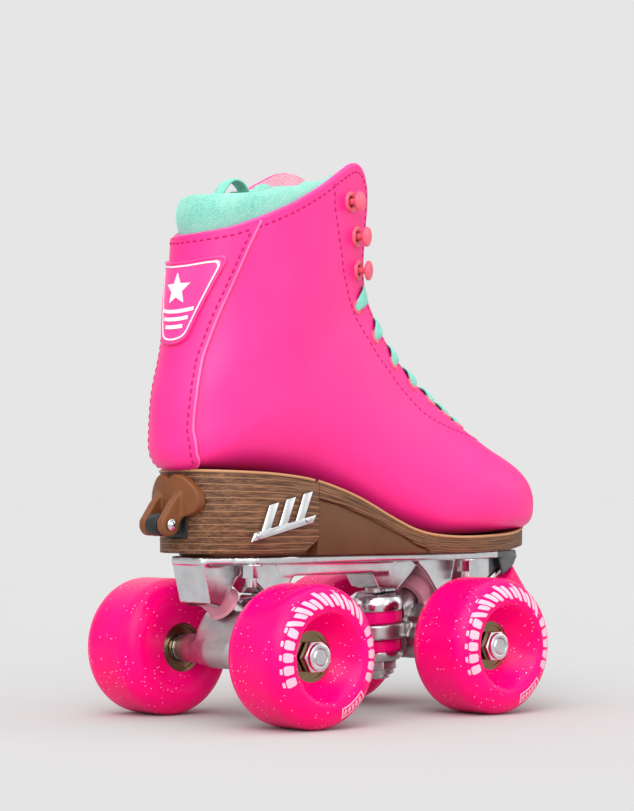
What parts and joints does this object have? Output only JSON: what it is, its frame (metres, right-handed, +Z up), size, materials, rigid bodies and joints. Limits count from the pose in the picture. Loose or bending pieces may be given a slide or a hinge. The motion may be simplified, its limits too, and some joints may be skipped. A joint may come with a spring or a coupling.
{
  "type": "roller skate",
  "caption": "Quad roller skate with a high lace-up boot, a heel that slides out to lengthen it, a locking heel lever and two steering trucks.",
  "frame": {"origin": "on the ground, on the skate's middle plane, under the middle of its length", "axes": "+X to the toe, +Y to the skate's left, +Z up"},
  "size_m": [0.234, 0.135, 0.2526],
  "materials": {
    "bearing_steel": "bronze-tinted shield",
    "black_plastic": "satin moulded",
    "brown_plastic": "satin moulded",
    "cast_aluminium": "polished casting",
    "coral_metal": "gloss lacquer",
    "cup_urethane": "satin urethane",
    "cushion_urethane": "satin urethane",
    "foam_grey": "footbed foam",
    "lining_pink": "light pink padded lining",
    "mint_lace": "flat woven lace",
    "mint_velvet": "short-pile velvet",
    "pink_leather": "smooth synthetic leather, soft sheen",
    "pink_urethane": "glossy cast urethane with fine glitter",
    "plated_steel": "bright plated",
    "stacked_wood": "satin, stacked-layer grain",
    "tan_plastic": "satin moulded"
  },
  "bodies": {
    "chassis": {"plate": "cast_aluminium", "mount_bolts": "plated_steel", "mount_nuts": "plated_steel", "sole_core": "brown_plastic", "toe_sole": "stacked_wood", "insole": "foam_grey", "vamp": "pink_leather", "quarters": "pink_leather", "tongue": "lining_pink", "lace": "mint_lace", "eyelets": "coral_metal", "lace_hooks": "coral_metal", "liner": "lining_pink", "cuff": "mint_velvet", "pull_loop": "mint_lace", "size_rack": "plated_steel", "kingpin_front": "plated_steel", "kingpin_rear": "plated_steel", "kingpin_nut_front": "plated_steel", "kingpin_nut_rear": "plated_steel", "retainers_front": "plated_steel", "retainers_rear": "plated_steel", "pivot_cup_front": "cup_urethane", "pivot_cup_rear": "cup_urethane", "cushion_top_front": "cushion_urethane", "cushion_top_rear": "cushion_urethane", "cushion_bottom_front": "cushion_urethane", "cushion_bottom_rear": "cushion_urethane", "toe_stop": "pink_urethane", "toe_stop_stem": "plated_steel", "toe_stop_nut": "plated_steel"},
    "heel_carriage": {"heel_block": "stacked_wood", "heel_counter": "pink_leather", "heel_patch": "pink_leather", "side_badges": "plated_steel", "badge_rivets": "plated_steel", "lever_bracket": "black_plastic", "lever_pin": "plated_steel", "lock_pawl": "plated_steel"},
    "lever": {"heel_lever": "tan_plastic"},
    "front_truck": {"hanger_front": "cast_aluminium", "axle_front": "plated_steel", "axle_nuts_front": "plated_steel", "axle_spacers_front": "plated_steel", "inner_races_front": "plated_steel"},
    "front_left_wheel": {"wheel_front_left": "pink_urethane", "bearings_front_left": "bearing_steel"},
    "front_right_wheel": {"wheel_front_right": "pink_urethane", "bearings_front_right": "bearing_steel"},
    "rear_truck": {"hanger_rear": "cast_aluminium", "axle_rear": "plated_steel", "axle_nuts_rear": "plated_steel", "axle_spacers_rear": "plated_steel", "inner_races_rear": "plated_steel"},
    "rear_left_wheel": {"wheel_rear_left": "pink_urethane", "bearings_rear_left": "bearing_steel"},
    "rear_right_wheel": {"wheel_rear_right": "pink_urethane", "bearings_rear_right": "bearing_steel"}
  },
  "joints": [
    {"name": "heel_slide", "type": "slide", "parent": "chassis", "child": "heel_carriage", "axis": [-1, 0, 0], "range_m": [0, 0.015]},
    {"name": "lever_swing", "type": "hinge", "parent": "heel_carriage", "child": "lever", "pos_m": [-0.1095, 0, 0.087], "axis": [0, -1, 0], "range_deg": [0, 80]},
    {"name": "front_steer", "type": "hinge", "parent": "chassis", "child": "front_truck", "pos_m": [0.0219, 0, 0.0365], "axis": [0.8128, 0, 0.5826], "range_deg": [-8, 8], "stiffness_Nm_per_rad": 30, "deforming": ["cushion_top_front", "cushion_bottom_front"]},
    {"name": "rear_steer", "type": "hinge", "parent": "chassis", "child": "rear_truck", "pos_m": [-0.0516, 0, 0.0365], "axis": [-0.8128, 0, 0.5826], "range_deg": [-8, 8], "stiffness_Nm_per_rad": 30, "deforming": ["cushion_top_rear", "cushion_bottom_rear"]},
    {"name": "front_left_spin", "type": "hinge", "parent": "front_truck", "child": "front_left_wheel", "pos_m": [0.0408, 0.04895, 0.031], "axis": [0, 1, 0], "continuous": true},
    {"name": "front_right_spin", "type": "hinge", "parent": "front_truck", "child": "front_right_wheel", "pos_m": [0.0408, -0.04895, 0.031], "axis": [0, 1, 0], "continuous": true},
    {"name": "rear_left_spin", "type": "hinge", "parent": "rear_truck", "child": "rear_left_wheel", "pos_m": [-0.0705, 0.04895, 0.031], "axis": [0, 1, 0], "continuous": true},
    {"name": "rear_right_spin", "type": "hinge", "parent": "rear_truck", "child": "rear_right_wheel", "pos_m": [-0.0705, -0.04895, 0.031], "axis": [0, 1, 0], "continuous": true}
  ]
}
